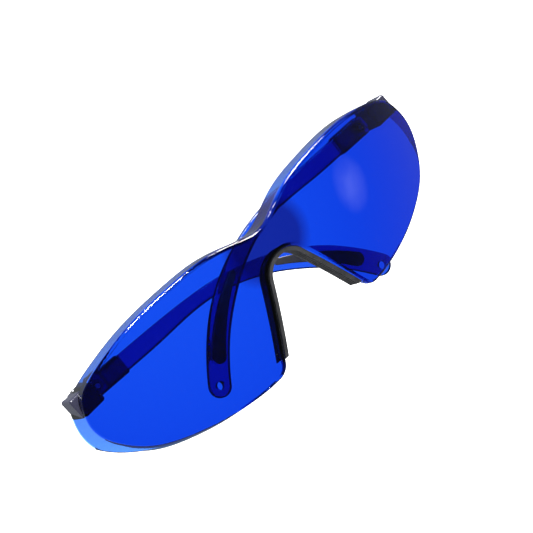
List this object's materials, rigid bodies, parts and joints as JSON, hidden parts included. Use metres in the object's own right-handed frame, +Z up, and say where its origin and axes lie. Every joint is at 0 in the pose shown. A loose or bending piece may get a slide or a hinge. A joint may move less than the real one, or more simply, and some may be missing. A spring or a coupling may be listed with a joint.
{
  "type": "safety glasses",
  "caption": "Wraparound shield safety glasses in clear blue plastic, with a brow ledge, a soft nose pad and folding, tilting, sliding temples.",
  "frame": {"origin": "centre of the bounding box on its lowest face", "axes": "+X towards the wearer's left, -Y out of the front of the lens, +Z up as worn"},
  "size_m": [0.16, 0.04, 0.0536],
  "materials": {
    "shield": "polished clear polycarbonate with a cobalt blue tint",
    "temple_blue": "moulded clear blue plastic, gloss",
    "hinge_smoke": "dark smoke moulded plastic, satin gloss",
    "pin_steel": "turned steel pin",
    "soft_black": "soft matt black elastomer"
  },
  "bodies": {
    "frame": {"lens_shield": "shield", "nose_pad": "soft_black", "left_hinge_block": "hinge_smoke", "left_hinge_pin": "pin_steel", "right_hinge_block": "hinge_smoke", "right_hinge_pin": "pin_steel"},
    "left_knuckle": {"left_temple_knuckle": "temple_blue"},
    "left_sleeve": {"left_temple_sleeve": "temple_blue", "left_tilt_pin": "pin_steel"},
    "left_ear": {"left_ear_piece": "temple_blue", "left_ear_grip": "soft_black"},
    "right_knuckle": {"right_temple_knuckle": "temple_blue"},
    "right_sleeve": {"right_temple_sleeve": "temple_blue", "right_tilt_pin": "pin_steel"},
    "right_ear": {"right_ear_piece": "temple_blue", "right_ear_grip": "soft_black"}
  },
  "joints": [
    {"name": "left_fold", "type": "hinge", "parent": "frame", "child": "left_knuckle", "pos_m": [0.0716, 0.01695, 0.04283], "axis": [0, 0, -1], "range_deg": [0, 98]},
    {"name": "left_tilt", "type": "hinge", "parent": "left_knuckle", "child": "left_sleeve", "pos_m": [0.06506, 0.01603, 0.04283], "axis": [-0.1392, 0.9903, 0], "range_deg": [-8.5, 1.5]},
    {"name": "left_length", "type": "slide", "parent": "left_sleeve", "child": "left_ear", "axis": [-0.9884, -0.1389, 0.061], "range_m": [0, 0.004]},
    {"name": "right_fold", "type": "hinge", "parent": "frame", "child": "right_knuckle", "pos_m": [-0.0716, 0.01695, 0.04283], "axis": [0, 0, 1], "range_deg": [0, 93.5]},
    {"name": "right_tilt", "type": "hinge", "parent": "right_knuckle", "child": "right_sleeve", "pos_m": [-0.06501, 0.01654, 0.04283], "axis": [-0.061, -0.9981, 0], "range_deg": [-1.5, 8.5]},
    {"name": "right_length", "type": "slide", "parent": "right_sleeve", "child": "right_ear", "axis": [0.9963, -0.0609, -0.061], "range_m": [0, 0.004]}
  ]
}
